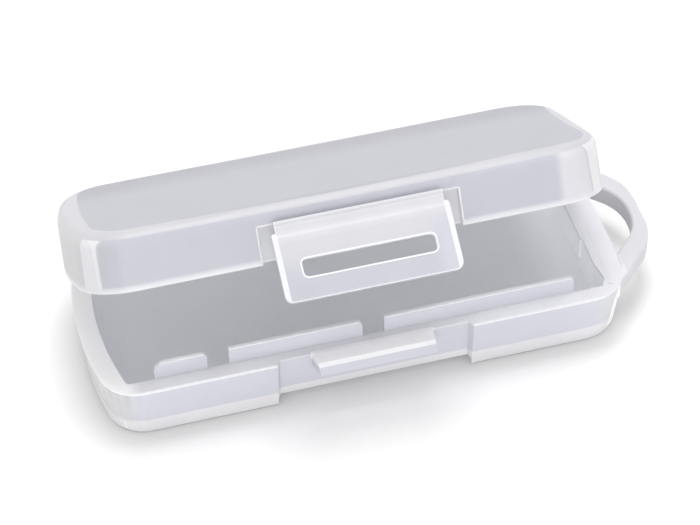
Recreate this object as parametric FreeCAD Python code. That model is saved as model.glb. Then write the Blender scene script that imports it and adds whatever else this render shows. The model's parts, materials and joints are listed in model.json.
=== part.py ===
import FreeCAD, Part
import math
import os

# Storage case for small round batteries: a tray with a hanging loop, a hinged lid and a snap latch.
# Millimetres. X runs along the case, +Y to its hinged back, +Z up.
# The origin is the centre of the tray's underside.

# Tray
case_length = 115.0
case_width = 45.6
tray_height = 13.6
tray_draft = 1.0
tray_bow_left = 3.8
tray_bow_right = 0.3
tray_corner_left = 8.3
tray_corner_right = 8.9
tray_foot_round = 0.9
side_wall = 3.3
left_wall = 4.1
right_wall = 4.1
tray_floor = 2.3
inner_bow = 2.9
inner_corner = 0.8
inner_draft = 0.7
rim_step_inset = 2.1
rim_step_depth = 0.4
rim_step_end = 6.5

# Recess in the tray's front wall
recess_half = 21.0
recess_shift = 1.15
recess_depth = 1.3
recess_side_slope = 0.75
recess_foot = 2.3

# Catch that the latch snaps over
catch_left = -12.2
catch_slot_gap = 0.5
catch_left_taper = 0.9
catch_reach = 1.3
catch_ramp = 1.1
catch_top_drop = 0.5
catch_bottom_drop = 3.35

# Upright lips inside the front rim, and the thick band inside the right end
lip_thickness = 0.75
lip_height = 4.3
lip_root = 3.0
lip_left_inset = 12.8
lip_left_width = 11.0
lip_gap = 4.6
lip_middle_stop = 0.95
lip_right_start = 3.7
lip_right_inset = 12.7
lip_round = 1.2
lip_round_large = 2.3
lip_round_small = 0.3
band_thickness = 2.1
band_height = 5.8
band_gap = 2.0
band_jog = 0.35
band_jog_place = 4.8
band_end_taper = 4.5
band_end_inset = 0.75
band_corner = 1.1

# Hanging loop
loop_reach = 9.35
loop_leg_out = 17.8
loop_round = 12.4
loop_eye_reach = 6.7
loop_eye_leg_out = 11.6
loop_eye_round = 11.0
loop_root_inset = 2.8
loop_shift = 0.7
loop_height = 5.1
loop_drop = 0.3
loop_edge = 0.75

# Hinges at the back
hinge_inset = 27.5
hinge_offset = 1.3
hinge_drop = 0.25
knuckle_radius = 1.15
knuckle_end_length = 4.0
knuckle_middle_length = 7.4
knuckle_gap = 0.3
web_rise = 1.2
web_gap = 0.15
pin_radius = 0.55
pin_seat_gap = 0.02
pin_running_gap = 0.06
pin_overhang = 0.4

# Lid
lid_overhang_left = 0.3
lid_short = 3.65
lid_height = 11.8
lid_draft = 0.35
lid_corner_left = 11.0
lid_corner_right = 10.9
lid_top_round = 2.8
lid_side_wall = 2.9
lid_left_wall = 4.0
lid_right_wall = 3.0
lid_top_wall = 1.9
lid_inner_corner = 4.0
lid_recess_half = 20.7
lid_recess_shift = 0.5
lid_recess_top = 7.8
lid_recess_depth = 1.9

# Latch flap and its moulded hinge
flap_gap = 0.25
flap_thickness = 1.1
flap_shift = 0.17
flap_half = 18.2
flap_top_half = 17.33
flap_shoulder = 2.87
flap_length = 17.15
flap_round = 1.7
flap_round_small = 0.5
flap_groove_depth = 0.2
flap_groove_radius = 3.2
slot_left = -13.35
slot_right = 13.95
slot_top = 8.9
slot_bottom = 12.6
slot_round = 1.0
bead_radius = 0.35
bead_clearance = 0.06
bead_wall = 0.36
hinge_web = 0.3
hinge_web_rise = 0.25
hinge_web_end_gap = 0.25
latch_swing = 130.0

# Pose that the case rests in
lid_open = 29.8
latch_open = 28.0
cut_extra = 5.0

half_length = case_length / 2
half_width = case_width / 2
front_inside_half = half_width - side_wall
hinge_y = half_width + hinge_offset
hinge_z = tray_height - hinge_drop
lid_left = -half_length - lid_overhang_left
lid_right = half_length - lid_short
x_axis = FreeCAD.Vector(1, 0, 0)
y_axis = FreeCAD.Vector(0, 1, 0)
z_axis = FreeCAD.Vector(0, 0, 1)


def corner_points(apex, half, bow, corner):
    """Points of one rounded end, from its back tangent to its front tangent, for an apex at +X."""
    radius = (half * half + bow * bow) / (2 * bow)
    centre = apex - radius
    corner_y = half - corner
    corner_x = centre + math.sqrt((radius - corner) ** 2 - corner_y ** 2)
    turn = math.atan2(corner_y, corner_x - centre)
    middle = (turn + math.pi / 2) / 2
    tangent = (corner_x, half)
    bend = (corner_x + corner * math.cos(middle), corner_y + corner * math.sin(middle))
    joint = (centre + radius * math.cos(turn), radius * math.sin(turn))
    return tangent, bend, joint


def outline(left, right, half, bow_left, bow_right, corner_left, corner_right, z):
    """Closed plan outline with straight long sides, bowed ends and round corners."""
    tangent, bend, joint = corner_points(right, half, bow_right, corner_right)
    far_tangent, far_bend, far_joint = corner_points(-left, half, bow_left, corner_left)

    def point(x, y):
        return FreeCAD.Vector(x, y, z)

    right_end = [point(x, -y) for x, y in (tangent, bend, joint)]
    right_back = [point(x, y) for x, y in (joint, bend, tangent)]
    left_back = [point(-x, y) for x, y in (far_tangent, far_bend, far_joint)]
    left_end = [point(-x, -y) for x, y in (far_joint, far_bend, far_tangent)]
    edges = [
        Part.LineSegment(left_end[-1], right_end[0]),
        Part.Arc(*right_end),
        Part.Arc(right_end[-1], point(right, 0), right_back[0]),
        Part.Arc(*right_back),
        Part.LineSegment(right_back[-1], left_back[0]),
        Part.Arc(*left_back),
        Part.Arc(left_back[-1], point(left, 0), left_end[0]),
        Part.Arc(*left_end),
    ]
    return Part.Wire([edge.toShape() for edge in edges])


def flat_outline(points, rounds=None):
    """Closed wire through the points, with each named corner rounded."""
    rounds = rounds or {}
    vectors = [FreeCAD.Vector(*point) for point in points]
    count = len(vectors)
    edges = []
    starts = []
    ends = []
    arcs = {}
    for index, here in enumerate(vectors):
        radius = rounds.get(index, 0)
        if not radius:
            starts.append(here)
            ends.append(here)
            continue
        back = (vectors[index - 1] - here).normalize()
        ahead = (vectors[(index + 1) % count] - here).normalize()
        half_angle = back.getAngle(ahead) / 2
        reach = radius / math.tan(half_angle)
        enter = here + back * reach
        leave = here + ahead * reach
        bisector = (back + ahead).normalize()
        middle = here + bisector * (radius / math.sin(half_angle) - radius)
        starts.append(enter)
        ends.append(leave)
        arcs[index] = Part.Arc(enter, middle, leave).toShape()
    for index in range(count):
        following = (index + 1) % count
        if index in arcs:
            edges.append(arcs[index])
        edges.append(Part.LineSegment(ends[index], starts[following]).toShape())
    return Part.Wire(edges)


def prism(wire, direction):
    return Part.Face(wire).extrude(direction)


def block(x_from, x_to, y_from, y_to, z_from, z_to):
    corner = FreeCAD.Vector(x_from, y_from, z_from)
    return Part.makeBox(x_to - x_from, y_to - y_from, z_to - z_from, corner)


def rod(radius, x_from, x_to, y, z):
    return Part.makeCylinder(radius, x_to - x_from, FreeCAD.Vector(x_from, y, z), x_axis)


def edges_at_height(shape, z, tolerance=0.001):
    found = []
    for edge in shape.Edges:
        box = edge.BoundBox
        if abs(box.ZMin - z) < tolerance and abs(box.ZMax - z) < tolerance:
            found.append(edge)
    return found


def tray_outer():
    foot = outline(-half_length + tray_draft, half_length - tray_draft, half_width - tray_draft,
                   tray_bow_left, tray_bow_right, tray_corner_left, tray_corner_right, 0)
    rim = outline(-half_length, half_length, half_width,
                  tray_bow_left, tray_bow_right, tray_corner_left, tray_corner_right, tray_height)
    body = Part.makeLoft([foot, rim], True, True)
    return body.makeFillet(tray_foot_round, edges_at_height(body, 0))


def tray_cavity():
    """Inside of the tray, which narrows towards its floor so that it leaves the mould."""
    sections = []
    for z in (tray_floor, tray_height + cut_extra):
        lean = inner_draft * (tray_height - z) / (tray_height - tray_floor)
        sections.append(outline(-half_length + left_wall + lean, half_length - right_wall - lean,
                                front_inside_half - lean, inner_bow, tray_bow_right,
                                inner_corner, inner_corner, z))
    return Part.makeLoft(sections, True, True)


def recess_wall(z):
    """Distance from the middle plane to the recess floor, which leans with the front wall."""
    return half_width - recess_depth - tray_draft * (1 - z / tray_height)


def front_recess():
    left = recess_shift - recess_half
    right = recess_shift + recess_half
    sections = []
    for z in (0, tray_height):
        lean = tray_draft * (1 - z / tray_height)
        face = -half_width + lean
        wall = -recess_wall(z)
        flare = recess_side_slope * cut_extra / recess_depth
        points = [
            (left - flare, face - cut_extra, z),
            (right + flare, face - cut_extra, z),
            (right - recess_side_slope, wall, z),
            (left + recess_side_slope, wall, z),
        ]
        sections.append(flat_outline(points))
    cutter = Part.makeLoft(sections, True, True)
    wall = -recess_wall(0)
    foot = [
        (left, wall - cut_extra, 0),
        (left, wall + recess_foot, 0),
        (left, wall, recess_foot),
        (left, wall - cut_extra, recess_foot),
    ]
    return cutter.fuse(prism(flat_outline(foot), x_axis * (right - left)))


def rim_step():
    """The right end's outer band of rim lies lower, outside the lid."""
    reach = half_width - rim_step_end
    return block(half_length - rim_step_inset, half_length + cut_extra, -reach, reach,
                 tray_height - rim_step_depth, tray_height + cut_extra)


def tray():
    return tray_outer().cut(tray_cavity()).cut(front_recess()).cut(rim_step())


def catch():
    """Wedge that the flap's slot rides over: it slopes out from the rim and ends in a square underside."""
    left = catch_left
    right = slot_right - catch_slot_gap
    top = tray_height
    low = top - catch_bottom_drop
    wall = -recess_wall(top)
    out = -half_width - catch_reach
    tip = out - catch_ramp
    profile = [
        (left, wall + recess_depth, top),
        (left, wall, top),
        (left, out, top - catch_top_drop),
        (left, tip, low),
        (left, wall + recess_depth, low),
    ]
    bar = prism(flat_outline(profile), x_axis * (right - left))
    plan = [
        (left, wall + recess_depth, low),
        (left, wall, low),
        (left + catch_left_taper, tip, low),
        (right, tip, low),
        (right, wall + recess_depth, low),
    ]
    tapered = bar.common(prism(flat_outline(plan), z_axis * catch_bottom_drop))
    inside = tray_outer().cut(front_recess())
    return tapered.cut(inside)


def lip(x_from, x_to, round_left, round_right):
    inside = -front_inside_half
    low = tray_height - lip_root
    high = tray_height + lip_height
    points = [(x_from, inside, low), (x_to, inside, low), (x_to, inside, high), (x_from, inside, high)]
    plate = prism(flat_outline(points, {2: round_right, 3: round_left}), y_axis * lip_thickness)
    return plate.cut(tray_outer().cut(tray_cavity()))


def end_band():
    wall = half_length - right_wall
    inner = wall - band_thickness
    end = inner + band_jog + band_end_inset
    reach = front_inside_half - band_gap
    low = tray_height - band_height
    points = [
        (wall + cut_extra, -front_inside_half - cut_extra, low),
        (end - band_corner, -front_inside_half - cut_extra, low),
        (end - band_corner, -front_inside_half, low),
        (end, -reach, low),
        (inner + band_jog, -reach + band_end_taper, low),
        (inner + band_jog, -band_jog_place - band_jog, low),
        (inner, -band_jog_place, low),
        (inner, front_inside_half + cut_extra, low),
        (wall + cut_extra, front_inside_half + cut_extra, low),
    ]
    return prism(flat_outline(points), z_axis * band_height).common(tray_cavity())


def loop_outline(reach, leg_out, rounding, z):
    """Half-octagon that leaves the case's right end and is rounded at its two outer corners."""
    root = half_length - loop_root_inset
    leg_line = half_length + leg_out
    tip = half_length + reach
    points = [
        (root, loop_shift + root - leg_line, z),
        (tip, loop_shift + tip - leg_line, z),
        (tip, loop_shift + leg_line - tip, z),
        (root, loop_shift + leg_line - root, z),
    ]
    return flat_outline(points, {1: rounding, 2: rounding})


def loop():
    low = tray_height - loop_drop - loop_height
    high = tray_height - loop_drop
    rise = z_axis * loop_height
    body = prism(loop_outline(loop_reach, loop_leg_out, loop_round, low), rise)
    ring = body.cut(prism(loop_outline(loop_eye_reach, loop_eye_leg_out, loop_eye_round, low), rise))
    rounded = [edge for edge in edges_at_height(ring, low) + edges_at_height(ring, high)
               if edge.BoundBox.XLength > loop_edge]
    return ring.makeFillet(loop_edge, rounded).cut(tray_outer())


def knuckle(x_from, x_to, bore, web_low, web_high):
    barrel = rod(knuckle_radius, x_from, x_to, hinge_y, hinge_z)
    web = block(x_from, x_to, half_width - tray_draft - hinge_offset, hinge_y, web_low, web_high)
    return barrel.fuse(web).cut(rod(bore, x_from - cut_extra, x_to + cut_extra, hinge_y, hinge_z))


def tray_knuckles(place):
    inner = knuckle_middle_length / 2 + knuckle_gap
    outer = inner + knuckle_end_length
    bore = pin_radius + pin_seat_gap
    low = hinge_z - knuckle_radius
    pair = [knuckle(place - outer, place - inner, bore, low, hinge_z),
            knuckle(place + inner, place + outer, bore, low, hinge_z)]
    return Part.makeCompound([piece.cut(tray_outer()) for piece in pair])


def pin(place):
    reach = knuckle_middle_length / 2 + knuckle_gap + knuckle_end_length + pin_overhang
    return rod(pin_radius, place - reach, place + reach, hinge_y, hinge_z)


def lid_outer():
    top = tray_height + lid_height
    sections = []
    for z, lean in ((tray_height, 0), (top, lid_draft)):
        sections.append(outline(lid_left + lean, lid_right - lean, half_width - lean,
                                tray_bow_left, tray_bow_right, lid_corner_left, lid_corner_right, z))
    body = Part.makeLoft(sections, True, True)
    return body.makeFillet(lid_top_round, edges_at_height(body, top))


def lid_cavity():
    wire = outline(lid_left + lid_left_wall, lid_right - lid_right_wall, half_width - lid_side_wall,
                   inner_bow, tray_bow_right, lid_inner_corner, lid_inner_corner, tray_height - cut_extra)
    return prism(wire, z_axis * (lid_height - lid_top_wall + cut_extra))


def lid_recess():
    return block(lid_recess_shift - lid_recess_half, lid_recess_shift + lid_recess_half,
                 -half_width - cut_extra, -half_width + lid_recess_depth,
                 tray_height - cut_extra, tray_height + lid_recess_top)


def lid_shell():
    return lid_outer().cut(lid_cavity()).cut(lid_recess())


def lid_knuckle(place):
    reach = knuckle_middle_length / 2
    low = tray_height + web_gap
    piece = knuckle(place - reach, place + reach, pin_radius + pin_running_gap, low, tray_height + web_rise)
    return piece.cut(lid_outer())


# The latch turns about the middle of the flap's thickness, just above the top of the lid's recess.
latch_y = -half_width - flap_gap - flap_thickness / 2
web_low = tray_height + lid_recess_top + hinge_web_rise
latch_z = web_low + hinge_web / 2
barrel_radius = bead_radius + bead_clearance + bead_wall
flap_top = latch_z + barrel_radius


def latch_web():
    """Thin moulded web from the lid's face to a round bead in the flap's top edge."""
    half = flap_top_half - hinge_web_end_gap
    left = flap_shift - half
    right = flap_shift + half
    bead = rod(bead_radius, left, right, latch_y, latch_z)
    root = -half_width + lid_draft + lid_recess_depth
    web = block(left, right, latch_y, root, web_low, web_low + hinge_web)
    return bead.fuse(web).cut(lid_outer().cut(lid_recess()))


def flap_plate():
    top = latch_z
    shoulder = flap_top - flap_shoulder
    low = flap_top - flap_length
    front = -half_width - flap_gap - flap_thickness
    points = [
        (flap_shift - flap_half, front, low),
        (flap_shift + flap_half, front, low),
        (flap_shift + flap_half, front, shoulder),
        (flap_shift + flap_top_half, front, shoulder),
        (flap_shift + flap_top_half, front, top),
        (flap_shift - flap_top_half, front, top),
        (flap_shift - flap_top_half, front, shoulder),
        (flap_shift - flap_half, front, shoulder),
    ]
    rounds = {0: flap_round, 1: flap_round, 2: flap_round_small, 7: flap_round_small}
    plate = prism(flat_outline(points, rounds), y_axis * flap_thickness)
    slot_points = [
        (slot_left, front - cut_extra, flap_top - slot_bottom),
        (slot_right, front - cut_extra, flap_top - slot_bottom),
        (slot_right, front - cut_extra, flap_top - slot_top),
        (slot_left, front - cut_extra, flap_top - slot_top),
    ]
    slot_rounds = {index: slot_round for index in range(len(slot_points))}
    slot = prism(flat_outline(slot_points, slot_rounds), y_axis * (flap_thickness + 2 * cut_extra))
    groove_y = front - flap_groove_radius + flap_groove_depth
    groove = rod(flap_groove_radius, -flap_half - cut_extra, flap_half + cut_extra, groove_y, shoulder)
    return plate.cut(slot).cut(groove)


def web_sweep():
    """Space that the web takes up around the bead as the flap swings from shut to fully open."""
    half = flap_top_half + cut_extra
    spread = math.degrees(math.asin((hinge_web / 2 + bead_clearance) / (bead_radius + bead_clearance)))
    centre = FreeCAD.Vector(-half, latch_y, latch_z)
    wedge = Part.makeCylinder(2 * barrel_radius, 2 * half, centre, x_axis, latch_swing + 2 * spread)
    # The wedge is made from straight up towards the front; the web starts level, towards the lid.
    wedge.rotate(centre, x_axis, -90 - spread)
    return wedge


def flap():
    left = flap_shift - flap_top_half
    right = flap_shift + flap_top_half
    barrel = rod(barrel_radius, left, right, latch_y, latch_z)
    bore = rod(bead_radius + bead_clearance, left - cut_extra, right + cut_extra, latch_y, latch_z)
    return flap_plate().fuse(barrel).cut(bore).cut(web_sweep()).removeSplitter()


def open_lid(shape):
    shape.rotate(FreeCAD.Vector(0, hinge_y, hinge_z), x_axis, -lid_open)
    return shape


def open_latch(shape):
    shape.rotate(FreeCAD.Vector(0, latch_y, latch_z), x_axis, -latch_open)
    return open_lid(shape)


lip_left_from = lip_left_inset - half_length
lip_left_to = lip_left_from + lip_left_width
lip_right_to = half_length - lip_right_inset
hinge_place = half_length - hinge_inset

parts = {
    "base_tray": tray(),
    "latch_catch": catch(),
    "front_lip_left": lip(lip_left_from, lip_left_to, lip_round_large, lip_round),
    "front_lip_middle": lip(lip_left_to + lip_gap, -lip_middle_stop, lip_round_small, lip_round),
    "front_lip_right": lip(lip_right_start, lip_right_to, lip_round_small, lip_round),
    "right_end_band": end_band(),
    "hanging_loop": loop(),
    "lid_shell": open_lid(lid_shell()),
    "latch_hinge_web": open_lid(latch_web()),
    "latch_flap": open_latch(flap()),
}
for side, place in (("left", -hinge_place), ("right", hinge_place)):
    parts["base_knuckles_" + side] = tray_knuckles(place)
    parts["hinge_pin_" + side] = pin(place)
    parts["lid_knuckle_" + side] = open_lid(lid_knuckle(place))

os.makedirs("parts", exist_ok=True)
for name, shape in parts.items():
    shape.exportStep("parts/" + name + ".step")
    box = shape.BoundBox
    print("%-22s solids %d valid %s volume %.1f  x %.1f..%.1f  y %.1f..%.1f  z %.1f..%.1f" % (
        name, len(shape.Solids), shape.isValid(), shape.Volume,
        box.XMin, box.XMax, box.YMin, box.YMax, box.ZMin, box.ZMax))
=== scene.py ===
import bmesh
import bpy
import json
import math
from mathutils import Matrix, Vector


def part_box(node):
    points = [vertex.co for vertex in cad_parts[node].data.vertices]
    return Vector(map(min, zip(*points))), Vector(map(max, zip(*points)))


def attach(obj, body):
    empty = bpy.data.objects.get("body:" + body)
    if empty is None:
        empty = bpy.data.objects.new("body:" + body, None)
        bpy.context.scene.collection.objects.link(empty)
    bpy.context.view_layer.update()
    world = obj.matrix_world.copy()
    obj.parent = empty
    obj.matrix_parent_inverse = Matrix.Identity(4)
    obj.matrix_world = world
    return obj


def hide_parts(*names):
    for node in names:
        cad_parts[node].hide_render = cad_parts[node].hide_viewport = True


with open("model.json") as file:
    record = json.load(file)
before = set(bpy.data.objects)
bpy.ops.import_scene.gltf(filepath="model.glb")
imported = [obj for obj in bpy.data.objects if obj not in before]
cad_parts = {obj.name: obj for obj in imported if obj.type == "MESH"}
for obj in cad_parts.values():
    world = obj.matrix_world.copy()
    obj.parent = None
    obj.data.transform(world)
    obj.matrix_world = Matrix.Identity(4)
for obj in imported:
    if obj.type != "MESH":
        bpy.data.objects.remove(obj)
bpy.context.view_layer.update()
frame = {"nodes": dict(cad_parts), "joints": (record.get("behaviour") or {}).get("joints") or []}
nodes = frame["nodes"]
scene = bpy.context.scene
mm = 0.001
print("frame loaded:", len(nodes), "nodes")


# Camera, floor and light

view = {
    "azimuth": -13.58,          # degrees from the front, minus towards the left end
    "elevation": 47.29,
    "roll": -1.6,
    "distance": 487.6 * mm,     # to the centre of the underside
    "focalPixels": 2250.0,
    "imageWidth": 700.0,
    "rightPixels": -5.65,       # where the underside's centre falls, from the image's centre
    "downPixels": 50.1,
    "sensor": 36.0,
    "clipStart": 10 * mm,
}

studio = {
    "world": 0.96,
    "floorSize": 4.0,
    "floorDrop": 0.03 * mm,     # so that floor and foot don't share a plane
    "floorColour": 0.8,
    "floorRoughness": 0.9,
    "contactShadowReach": 9 * mm,     # how far out the floor's colour is darkened round the foot, a painted contact shadow
    "contactShadowShare": 0.36,
    "contactShadowSamples": 6,
    "floorGlow": 0.06,          # seen by the camera only, so the far floor is white
    "lamps": {                  # place, size and watts
        "keyLight": ((0.05, 0.2, 0.8), 0.32, 2.8),
        "fillLight": ((-0.12, -0.76, 0.33), 0.4, 1.4),
    },
}


def addNode(tree, kind, **settings):
    node = tree.nodes.new(kind)
    for name, value in settings.items():
        setattr(node, name, value)
    return node


def feed(tree, socket, value):
    if isinstance(value, bpy.types.NodeSocket):
        tree.links.new(value, socket)
    else:
        socket.default_value = value


def calc(tree, operation, *values):
    node = addNode(tree, "ShaderNodeMath", operation=operation)
    for socket, value in zip(node.inputs, values):
        feed(tree, socket, value)
    return node.outputs["Value"]


def makeCamera(plan):
    azimuth, elevation = math.radians(plan["azimuth"]), math.radians(plan["elevation"])
    right = Vector((math.cos(azimuth), math.sin(azimuth), 0))
    away = Vector((-math.sin(azimuth) * math.cos(elevation), math.cos(azimuth) * math.cos(elevation),
                   -math.sin(elevation)))
    right = Matrix.Rotation(math.radians(-plan["roll"]), 3, away) @ right
    up = right.cross(away)
    camera = bpy.data.cameras.new("photoCamera")
    camera.sensor_width = plan["sensor"]
    camera.lens = plan["focalPixels"] / plan["imageWidth"] * plan["sensor"]
    camera.shift_x = -plan["rightPixels"] / plan["imageWidth"]
    camera.shift_y = plan["downPixels"] / plan["imageWidth"]
    camera.clip_start = plan["clipStart"]
    holder = bpy.data.objects.new("photoCamera", camera)
    holder.matrix_world = Matrix((right, up, -away)).transposed().to_4x4()
    holder.location = -away * plan["distance"]
    scene.collection.objects.link(holder)
    scene.camera = holder


def makeWorld(plan):
    world = bpy.data.worlds.new("softBox")
    world.use_nodes = True
    sky = world.node_tree.nodes["Background"]
    sky.inputs["Color"].default_value = (1, 1, 1, 1)
    sky.inputs["Strength"].default_value = plan["world"]
    scene.world = world


def makeFloor(plan):
    material = bpy.data.materials.new("paleFloor")
    material.use_nodes = True
    tree = material.node_tree
    shader = tree.nodes["Principled BSDF"]
    grey = plan["floorColour"]
    # painted contact shadow: ambient occlusion darkens the floor's colour round the foot
    contact = addNode(tree, "ShaderNodeAmbientOcclusion", samples=plan["contactShadowSamples"])
    contact.inputs["Distance"].default_value = plan["contactShadowReach"]
    shade = calc(tree, "MULTIPLY_ADD", contact.outputs["AO"], plan["contactShadowShare"], 1 - plan["contactShadowShare"])
    feed(tree, shader.inputs["Base Color"], calc(tree, "MULTIPLY", shade, grey))
    shader.inputs["Roughness"].default_value = plan["floorRoughness"]
    shader.inputs["Specular IOR Level"].default_value = 0
    shader.inputs["Emission Color"].default_value = (1, 1, 1, 1)
    rays = addNode(tree, "ShaderNodeLightPath").outputs
    seen = calc(tree, "MAXIMUM", rays["Is Camera Ray"], rays["Is Glossy Ray"])
    seen = calc(tree, "MAXIMUM", seen, rays["Is Transmission Ray"])
    feed(tree, shader.inputs["Emission Strength"], calc(tree, "MULTIPLY", seen, plan["floorGlow"]))
    bm = bmesh.new()
    bmesh.ops.create_grid(bm, x_segments=1, y_segments=1, size=plan["floorSize"] / 2)
    mesh = bpy.data.meshes.new("floor")
    bm.to_mesh(mesh)
    bm.free()
    mesh.materials.append(material)
    mesh.transform(Matrix.Translation((0, 0, -plan["floorDrop"])))
    floor = bpy.data.objects.new("floor", mesh)
    scene.collection.objects.link(floor)


def makeLamps(plan):
    for name, (place, size, watts) in plan["lamps"].items():
        lamp = bpy.data.lights.new(name, "AREA")
        lamp.size = size
        lamp.energy = watts
        holder = bpy.data.objects.new(name, lamp)
        holder.location = place
        holder.rotation_euler = (-Vector(place)).to_track_quat("-Z", "Y").to_euler()
        scene.collection.objects.link(holder)


makeCamera(view)
makeWorld(studio)
makeFloor(studio)
makeLamps(studio)
scene.view_settings.view_transform = "Standard"
print("camera, floor and light made")


# Frosted plastic, painted in zones. Each zone has a level from 0 to 1, a tint and the ranges, in mm, over
# which it sets in: ("z", 3, 4) is nothing below 3 and full above 4, and ("z", 4, 3) the other way round.
# Later zones lie over earlier ones. A lid's and a latch's ranges are those of the closed case.
# Most zones are painted light and shade: lighter bands where light passes through solid plastic, darker
# panels where the shaded inside shows through, painted highlights along edges and outlines, and faces
# painted lighter or darker as light falls on them.

tints = {
    "cool": (0.985, 0.99, 1.085),
    "pale": (0.99, 0.99, 1.035),
    "plain": (0.995, 0.998, 1.01),
    "rosy": (1.005, 0.99, 1.02),
    "deep": (0.94, 0.96, 1.035),
}

frosting = {
    "ior": 1.49,
    "spreadShare": 0.5,         # light that spreads inside the plastic
    "spreadReach": 0.35 * mm,
    "mottle": (0.11, 2),        # noise per mm and its detail, here and below
    "mottleDepth": 0.04,
    "grain": (3.0, 3),
    "grainRoughness": 0.08,
    "wave": (0.5, 1),
    "bump": 0.012 * mm,
    "bumpStrength": 0.5,
}


def rise(tree, value, low, high):
    node = addNode(tree, "ShaderNodeMapRange", interpolation_type="SMOOTHSTEP")
    feed(tree, node.inputs["Value"], value)
    node.inputs["From Min"].default_value = low
    node.inputs["From Max"].default_value = high
    return node.outputs["Result"]


def colourOf(level, tint):
    return (*(min(level * part, 1) for part in tints[tint]), 1)


def noise(tree, place, kind):
    node = addNode(tree, "ShaderNodeTexNoise")
    feed(tree, node.inputs["Vector"], place)
    node.inputs["Scale"].default_value, node.inputs["Detail"].default_value = frosting[kind]
    return node.outputs["Fac"]


def within(tree, axes, ranges, full):
    for axis, low, high in ranges:
        full = calc(tree, "MULTIPLY", full, rise(tree, axes[axis], low, high))
    return full


def paintZones(tree, axes, finish):
    colour = colourOf(*finish["ground"])
    for level, tint, ranges in finish["zones"]:
        node = addNode(tree, "ShaderNodeMix", data_type="RGBA")
        factor, first, second = (socket for socket in node.inputs if socket.enabled)
        feed(tree, factor, within(tree, axes, ranges, 1.0))
        feed(tree, first, colour)
        second.default_value = colourOf(level, tint)
        colour = next(socket for socket in node.outputs if socket.enabled)
    return colour


def paintGlow(tree, axes, finish, shader):
    # painted glow: emission that stands in for daylight that the walls let through, seen on the inside, and
    # along the left rim a painted light against the lid's shadow
    total = 0.0
    for strength, ranges in finish["lights"]:
        total = calc(tree, "ADD", total, within(tree, axes, ranges, strength))
    shader.inputs["Emission Color"].default_value = finish["glowColour"]
    feed(tree, shader.inputs["Emission Strength"], total)


def makeAxes(tree, place, finish):
    parts = addNode(tree, "ShaderNodeSeparateXYZ")
    feed(tree, parts.inputs["Vector"], place)
    axes = {"x": parts.outputs["X"], "y": parts.outputs["Y"], "z": parts.outputs["Z"]}
    for name, (axis, other, rises, reach) in finish.get("bows", {}).items():
        # the axis, raised by so much in the middle of the other one's reach and by nothing at its ends
        along = calc(tree, "POWER", calc(tree, "DIVIDE", axes[other], reach), 2.0)
        axes[name] = calc(tree, "MULTIPLY_ADD", calc(tree, "SUBTRACT", 1.0, along), rises, axes[axis])
    for name, (first, second, middle, half, corner) in finish.get("sheets", {}).items():
        # how far outside a rectangle with round corners
        squares = []
        for axis, centre, size in zip((first, second), middle, half):
            beyond = calc(tree, "ABSOLUTE", calc(tree, "SUBTRACT", axes[axis], centre))
            beyond = calc(tree, "MAXIMUM", calc(tree, "SUBTRACT", beyond, size - corner), 0.0)
            squares.append(calc(tree, "POWER", beyond, 2.0))
        axes[name] = calc(tree, "SUBTRACT", calc(tree, "SQRT", calc(tree, "ADD", *squares)), corner)
    return axes


def frosted(name, finish, closing):
    material = bpy.data.materials.new(name)
    material.use_nodes = True
    tree = material.node_tree
    shader = tree.nodes["Principled BSDF"]
    place = addNode(tree, "ShaderNodeMapping")
    feed(tree, place.inputs["Vector"], addNode(tree, "ShaderNodeTexCoord").outputs["Object"])
    place.inputs["Scale"].default_value = (1 / mm, 1 / mm, 1 / mm)
    place.inputs["Rotation"].default_value = (closing["angle"], 0, 0)
    place.inputs["Location"].default_value = closing["shift"]
    place = place.outputs["Vector"]
    axes = makeAxes(tree, place, finish)
    colour = paintZones(tree, axes, finish)
    if "lights" in finish:
        paintGlow(tree, axes, finish, shader)
    mottled = addNode(tree, "ShaderNodeHueSaturation")
    feed(tree, mottled.inputs["Color"], colour)
    depth = frosting["mottleDepth"]
    shade = calc(tree, "MULTIPLY_ADD", noise(tree, place, "mottle"), 2 * depth, 1 - depth)
    feed(tree, mottled.inputs["Value"], shade)
    feed(tree, shader.inputs["Base Color"], mottled.outputs["Color"])
    grain = noise(tree, place, "grain")
    roughness = calc(tree, "MULTIPLY_ADD", grain, frosting["grainRoughness"], finish["roughness"])
    feed(tree, shader.inputs["Roughness"], roughness)
    shader.inputs["Transmission Weight"].default_value = finish["transmission"]
    shader.inputs["IOR"].default_value = frosting["ior"]
    shader.inputs["Subsurface Weight"].default_value = frosting["spreadShare"]
    shader.inputs["Subsurface Radius"].default_value = (1, 1, 1)
    shader.inputs["Subsurface Scale"].default_value = frosting["spreadReach"]
    bump = addNode(tree, "ShaderNodeBump")
    bump.inputs["Strength"].default_value = frosting["bumpStrength"]
    bump.inputs["Distance"].default_value = frosting["bump"]
    feed(tree, bump.inputs["Height"], calc(tree, "ADD", noise(tree, place, "wave"), grain))
    feed(tree, shader.inputs["Normal"], bump.outputs["Normal"])
    return material


def closingOf(*names):
    # the turn that takes a piece from rest to the closed case, and the shift in mm that goes with it
    joints = {joint["name"]: joint for joint in frame["joints"]}
    angle, shift = 0.0, Vector((0, 0, 0))
    for name in names:
        joint = joints[name]
        turn = math.radians(-joint["range_deg"][0])
        about = Vector(joint["pos_m"]) / mm
        spin = Matrix.Rotation(turn, 3, "X")
        shift = spin @ (shift - about) + about
        angle += turn
    return {"angle": angle, "shift": shift}


# Mouldings

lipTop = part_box("front_lip_left")[1][2] / mm
leftBow = ("x", "y", 3.8, 22.8)     # the bulge of the left end and half its width
trayInside = [("xLeft", -51.3, -51.1), ("x", 55.6, 55.4), ("y", -20.4, -20.2), ("y", 21.2, 21.0),
              ("z", 1.1, 1.3)]
insideWalls = trayInside + [("z", 13.0, 12.8)]
trayRim = ("z", 12.9, 13.1)
lidFront = ("y", -20.4, -20.6)
lidSides = ("zBand", 24.5, 24.35)

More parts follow.
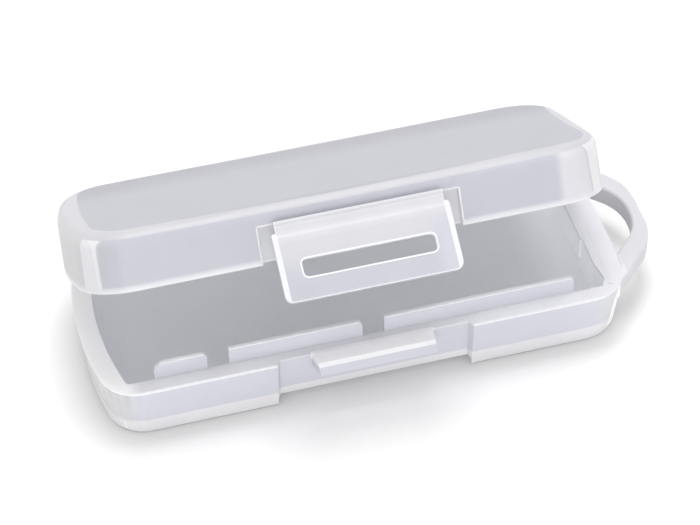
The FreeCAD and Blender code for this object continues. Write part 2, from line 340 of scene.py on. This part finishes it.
tray = {
    "body": "tray",
    "slot": "frosted_tray",
    "shell": "base_tray",
    "adds": ["latch_catch", "front_lip_left", "front_lip_middle", "front_lip_right", "right_end_band",
             "hanging_loop", "base_knuckles_left", "base_knuckles_right"],
    "closing": (),
    "edgeWidth": 0.22 * mm,
    "edgeAngle": 32.0,
    "roughness": 0.38,
    "transmission": 0.2,
    "edgeHighlightLevel": 0.97,
    "ground": (0.86, "rosy"),                                     # bands along the foot and the corners, painted light where light passes through solid plastic
    "bows": {"xLeft": leftBow},
    "zones": [
        (0.71, "cool", [("z", 4.3, 4.5), ("x", -50.4, -50.2), ("x", 51.0, 50.8)]),          # long sides, painted shade where the shaded inside shows through the wall
        (0.70, "rosy", [("z", 3.0, 5.0), ("x", -50.2, -50.4)]),                            # corners
        (0.71, "rosy", [("z", 3.0, 5.0), ("x", 50.8, 51.0)]),
        (0.71, "plain", [("z", 3.9, 4.1), ("x", -50.3, -50.6), ("y", -19.6, -19.4), ("y", 19.6, 19.4)]),
        (1.0, "deep", trayInside),
        # painted light along the rim: lighter at the left end, against the lid's shadow, and from the front
        # middle towards the right end
        (0.77, "pale", [trayRim]),
        (1.0, "pale", [trayRim, ("x", -47.0, -52.0)]),
        (0.9, "pale", [trayRim, ("x", 10.0, 35.0)]),
        (0.82, "pale", [trayRim, ("x", 44.0, 52.0)]),
        (0.72, "cool", [("z", 13.7, 13.8), ("x", -56.0, -55.9), ("y", 22.0, 21.9)]),       # lips
        # painted highlight along the lips' top edges
        (0.95, "pale", [("z", lipTop - 0.3, lipTop - 0.2)]),
        (0.95, "pale", [trayRim, ("y", -22.4, -22.5)]),                                    # painted highlight along the rim's outer edge
        (0.98, "pale", [("x", -12.6, -12.5), ("x", 13.8, 13.7), ("y", -20.9, -21.1),
                        ("z", 12.0, 12.2)]),                                               # catch
        (0.71, "pale", [("x", 57.5, 58.0)]),                                               # loop
    ],
    # painted glow: emission inside the tray and along its left rim
    "glowColour": (0.97, 0.955, 0.975, 1),
    "lights": [
        (0.018, insideWalls),
        (0.11, [("x", 40.0, 51.0)] + insideWalls),
        (0.035, [("xLeft", -38.0, -50.0)] + insideWalls),
        (0.05, [("xLeft", -47.0, -50.0), trayRim]),
    ],
}

lid = {
    "body": "lid",
    "slot": "frosted_lid",
    "shell": "lid_shell",
    "adds": ["lid_knuckle_left", "lid_knuckle_right", "latch_hinge_web"],
    "closing": ("lid_hinge",),
    "edgeWidth": 0.22 * mm,
    "edgeAngle": 32.0,
    "roughness": 0.38,
    "transmission": 0.35,
    "edgeHighlightLevel": 0.97,
    "ground": (0.71, "pale"),                                     # band between top and sides, painted light where light passes through the solid plastic of the rounded edge
    "bows": {"yTop": ("y", "x", 1.8, 50.0), "zBand": ("z", "x", 0.5, 50.0), "xEnd": ("x", "y", 0.6, 12.5),
             "xLeft": leftBow},
    "sheets": {"top": ("xEnd", "yTop", (-0.6, 1.0), (51.4, 20.0), 6.5),
               "recess": ("x", "z", (0.5, 14.0), (20.7, 7.4), 0.3)},
    "zones": [
        (0.56, "cool", [("top", 0.1, -0.1), ("z", 24.9, 25.1)]),                              # top, painted shade where the shaded inside shows through
        # painted shade: the top darker towards the back edge
        (0.47, "cool", [("top", 0.1, -0.1), ("z", 24.9, 25.1), ("y", 6.0, 17.0)]),
        # painted shade: the front darker where the shaded inside shows through
        (0.62, "cool", [lidFront, lidSides, ("x", -52.3, -52.1)]),
        (0.9, "plain", [("y", -22.1, -21.9), lidFront, ("z", 21.6, 21.4), ("x", -20.5, -20.3),
                        ("x", 21.5, 21.3)]),                                                  # recess
        # painted light: the front lighter towards the right end, where it curves round into the light
        (0.80, "pale", [lidFront, lidSides, ("x", 41.5, 43.5)]),
        (0.72, "plain", [("x", -52.1, -52.3), ("y", -17.1, -16.9), ("y", 17.1, 16.9), lidSides]),
        (0.85, "pale", [("x", 51.6, 51.8), lidSides]),                                        # right end, painted lighter than the left end as light falls on it from the right
        (0.88, "pale", [("x", -52.1, -52.3), ("y", -16.9, -17.1), lidSides]),                 # left corner, painted light where light passes through its solid plastic
        (0.70, "cool", [("y", 21.3, 21.5), lidSides, ("x", -52.3, -52.1)]),                   # back
        (0.97, "pale", [("recess", -0.1, 0.0), ("recess", 0.4, 0.3), lidFront]),              # painted highlight along the recess's outline
        (0.86, "pale", [("z", 15.2, 14.2)]),                                                  # rim, and below it a painted highlight along its lower edge
        (0.98, "pale", [("z", 14.1, 14.0)]),
        (0.98, "pale", [("xLeft", -52.0, -51.8), ("x", 52.3, 52.1), ("y", -20.3, -20.1),
                        ("y", 21.3, 21.1), ("z", 24.5, 24.3)]),                               # inside
    ],
}

latch = {
    "body": "latch",
    "slot": "frosted_latch",
    "shell": "latch_flap",
    "adds": [],
    "closing": ("latch_hinge", "lid_hinge"),
    "edgeWidth": 0.33 * mm,
    "edgeAngle": 32.0,
    "roughness": 0.38,
    "transmission": 0.2,
    "edgeHighlightLevel": 0.9,
    "ground": (0.72, "pale"),
    "sheets": {"slot": ("x", "z", (0.3, 11.82), (13.65, 1.85), 1.0),
               "lower": ("x", "z", (0.17, 13.42), (18.2, 8.0), 1.7),
               "upper": ("x", "z", (0.17, 13.0), (17.33, 9.57), 0.5)},
    "zones": [
        # painted shade: the flap darker towards its lower part, where the shaded inside shows through, with
        # its right side at its own level
        (0.67, "pale", [("z", 18.6, 17.0)]),
        (0.58, "cool", [("z", 16.0, 9.0)]),
        (0.64, "cool", [("z", 18.0, 15.0), ("x", 12.0, 16.0)]),
        (0.92, "pale", [("slot", 0.38, 0.28)]),                   # painted highlights along the outlines of the slot and the flap
        (0.85, "pale", [("lower", -0.25, -0.15), ("z", 19.7, 19.5), ("y", -23.85, -23.95)]),
        (0.85, "pale", [("upper", -0.25, -0.15)]),
    ],
}

meshing = {"merge": 0.002 * mm, "flat": 0.5, "segments": 2, "sharp": 40.0}


def tidyMesh(bm):
    bmesh.ops.remove_doubles(bm, verts=bm.verts, dist=meshing["merge"])
    bmesh.ops.dissolve_limit(bm, angle_limit=math.radians(meshing["flat"]), verts=bm.verts, edges=bm.edges)


def cleanCopy(name, node):
    bm = bmesh.new()
    bm.from_mesh(nodes[node].data)
    tidyMesh(bm)
    data = bpy.data.meshes.new(name)
    bm.to_mesh(data)
    bm.free()
    piece = bpy.data.objects.new(name, data)
    scene.collection.objects.link(piece)
    return piece


def applyModifiers(piece):
    depsgraph = bpy.context.evaluated_depsgraph_get()
    data = bpy.data.meshes.new_from_object(piece.evaluated_get(depsgraph))
    piece.modifiers.clear()
    piece.data = data


def joinNodes(piece, others):
    tools = [cleanCopy(piece.name + "Add", node) for node in others]
    for tool in tools:
        join = piece.modifiers.new("join", "BOOLEAN")
        join.operation = "UNION"
        join.solver = "EXACT"
        join.object = tool
    applyModifiers(piece)
    for tool in tools:
        bpy.data.objects.remove(tool)
    bm = bmesh.new()
    bm.from_mesh(piece.data)
    tidyMesh(bm)
    print(piece.name, "open edges", len([edge for edge in bm.edges if not edge.is_manifold]))
    bm.to_mesh(piece.data)
    bm.free()


def softenEdges(piece, plan):
    soften = piece.modifiers.new("soften", "BEVEL")
    soften.width = plan["edgeWidth"]
    soften.segments = meshing["segments"]
    soften.limit_method = "ANGLE"
    soften.angle_limit = math.radians(plan["edgeAngle"])
    # the bevel faces take the second material, whose near-white is a painted highlight along the edges
    soften.material = 1
    applyModifiers(piece)
    piece.data.shade_smooth()
    piece.data.set_sharp_from_angle(angle=math.radians(meshing["sharp"]))
    flatten = piece.modifiers.new("flatten", "WEIGHTED_NORMAL")       # keeps the flat faces flat
    flatten.mode = "FACE_AREA"
    flatten.keep_sharp = True
    applyModifiers(piece)


def edgeFinish(plan):
    # a pale finish: on bevelled edges its near-white level is a painted highlight; the pins take it as their
    # plain colour
    return {"ground": (plan["edgeHighlightLevel"], "pale"), "zones": [], "roughness": plan["roughness"],
            "transmission": plan["transmission"]}


def makeMoulding(name, plan):
    piece = cleanCopy(name, plan["shell"])
    joinNodes(piece, plan["adds"])
    closing = closingOf(*plan["closing"])
    piece.data.materials.clear()
    piece.data.materials.append(frosted(name + "Plastic", plan, closing))
    piece.data.materials.append(frosted(name + "EdgeHighlight", edgeFinish(plan), closing))
    softenEdges(piece, plan)
    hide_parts(plan["shell"], *plan["adds"])
    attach(piece, plan["body"])
    print(name, "made:", len(piece.data.polygons), "faces")


makeMoulding("trayMoulding", tray)
makeMoulding("lidMoulding", lid)
makeMoulding("latchMoulding", latch)

pinPlastic = frosted("pinPlastic", edgeFinish(tray), closingOf())
for side in ("left", "right"):
    nodes["hinge_pin_" + side].material_slots[0].material = pinPlastic
print("pins finished")
